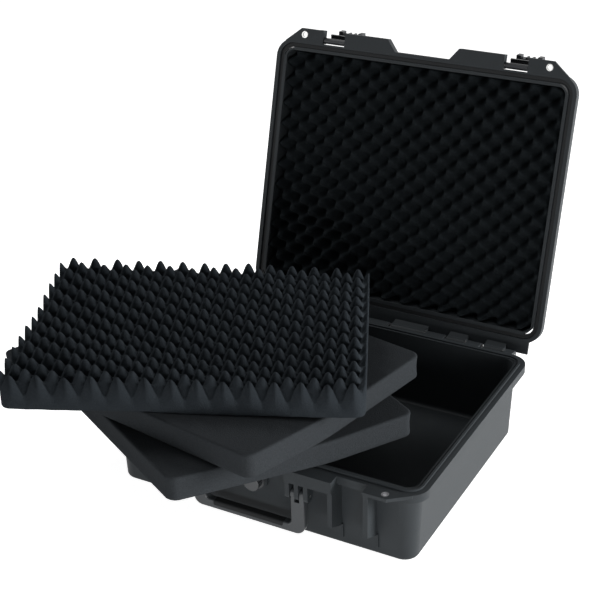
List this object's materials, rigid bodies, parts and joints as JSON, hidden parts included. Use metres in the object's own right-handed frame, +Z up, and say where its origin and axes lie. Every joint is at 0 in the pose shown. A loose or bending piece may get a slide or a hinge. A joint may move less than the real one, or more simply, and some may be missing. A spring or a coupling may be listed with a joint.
{
  "type": "effects processor case",
  "caption": "Hard moulded equipment case, open, with draw latches, folding handle, pressure valve, egg-crate lid foam and loose foam pads fanned on its rim",
  "frame": {"origin": "middle of the base's flat underside, where the case rests", "axes": "+X to the case's right seen from its latches, +Y back towards the hinge, +Z up"},
  "size_m": [0.639, 0.7686, 0.5138],
  "materials": {
    "case_plastic": "finely grained",
    "latch_plastic": "smooth satin",
    "handle_plastic": "smooth satin",
    "grip_rubber": "soft matt",
    "seal_rubber": "soft matt",
    "valve_plastic": "satin",
    "steel": "drawn",
    "eyelet_steel": "turned",
    "lid_foam": "open-cell foam",
    "pad_foam": "open-cell foam",
    "crate_foam": "open-cell foam"
  },
  "bodies": {
    "base": {"base_shell": "case_plastic", "base_hinge_knuckles": "case_plastic", "handle_land_left": "case_plastic", "handle_land_right": "case_plastic", "base_ear_left": "case_plastic", "base_ear_right": "case_plastic", "hinge_pin_left": "steel", "hinge_pin_right": "steel", "handle_pin_left": "steel", "handle_pin_right": "steel", "valve_body": "valve_plastic", "valve_o_ring": "seal_rubber", "valve_nut": "valve_plastic", "base_padlock_eyelet_left": "eyelet_steel", "base_padlock_eyelet_right": "eyelet_steel"},
    "lid": {"lid_shell": "case_plastic", "lid_hinge_knuckles": "case_plastic", "lid_bump_left": "case_plastic", "lid_bump_right": "case_plastic", "lid_ear_left": "case_plastic", "lid_ear_right": "case_plastic", "lid_gasket": "seal_rubber", "lid_foam": "lid_foam", "lid_padlock_eyelet_left": "eyelet_steel", "lid_padlock_eyelet_right": "eyelet_steel", "latch_pin_left": "steel", "latch_pin_right": "steel"},
    "left_latch": {"latch_left": "latch_plastic"},
    "right_latch": {"latch_right": "latch_plastic"},
    "handle": {"carry_handle": "handle_plastic", "handle_grip": "grip_rubber"},
    "knob": {"valve_knob": "valve_plastic"},
    "bottom_pad": {"foam_pad_bottom": "pad_foam"},
    "middle_pad": {"foam_pad_middle": "pad_foam"},
    "top_pad": {"foam_pad_egg_crate": "crate_foam"}
  },
  "joints": [
    {"name": "lid_hinge", "type": "hinge", "parent": "base", "child": "lid", "pos_m": [0, 0.214, 0.1035], "axis": [1, 0, 0], "range_deg": [0, 105]},
    {"name": "left_latch_hinge", "type": "hinge", "parent": "lid", "child": "left_latch", "pos_m": [-0.1453, 0.33828, 0.49777], "axis": [1, 0, 0], "range_deg": [0, 170]},
    {"name": "right_latch_hinge", "type": "hinge", "parent": "lid", "child": "right_latch", "pos_m": [0.1453, 0.33828, 0.49777], "axis": [1, 0, 0], "range_deg": [0, 170]},
    {"name": "handle_hinge", "type": "hinge", "parent": "base", "child": "handle", "pos_m": [0, -0.205, 0.078], "axis": [-1, 0, 0], "range_deg": [0, 90]},
    {"name": "valve_turn", "type": "hinge", "parent": "base", "child": "knob", "pos_m": [0, -0.2, 0.068], "axis": [0, -1, 0], "range_deg": [0, 180]},
    {"name": "pads_slide", "type": "slide", "parent": "base", "child": "bottom_pad", "axis": [0, -1, 0], "range_m": [0, 0.52]},
    {"name": "middle_pad_lift", "type": "slide", "parent": "bottom_pad", "child": "middle_pad", "axis": [0, 0, 1], "range_m": [0, 0.12]},
    {"name": "top_pad_lift", "type": "slide", "parent": "middle_pad", "child": "top_pad", "axis": [0, 0, 1], "range_m": [0, 0.12]}
  ],
  "couplings": [
    {"joint": "pads_slide", "follows": "lid_hinge", "m_per_rad": 0.28375}
  ]
}
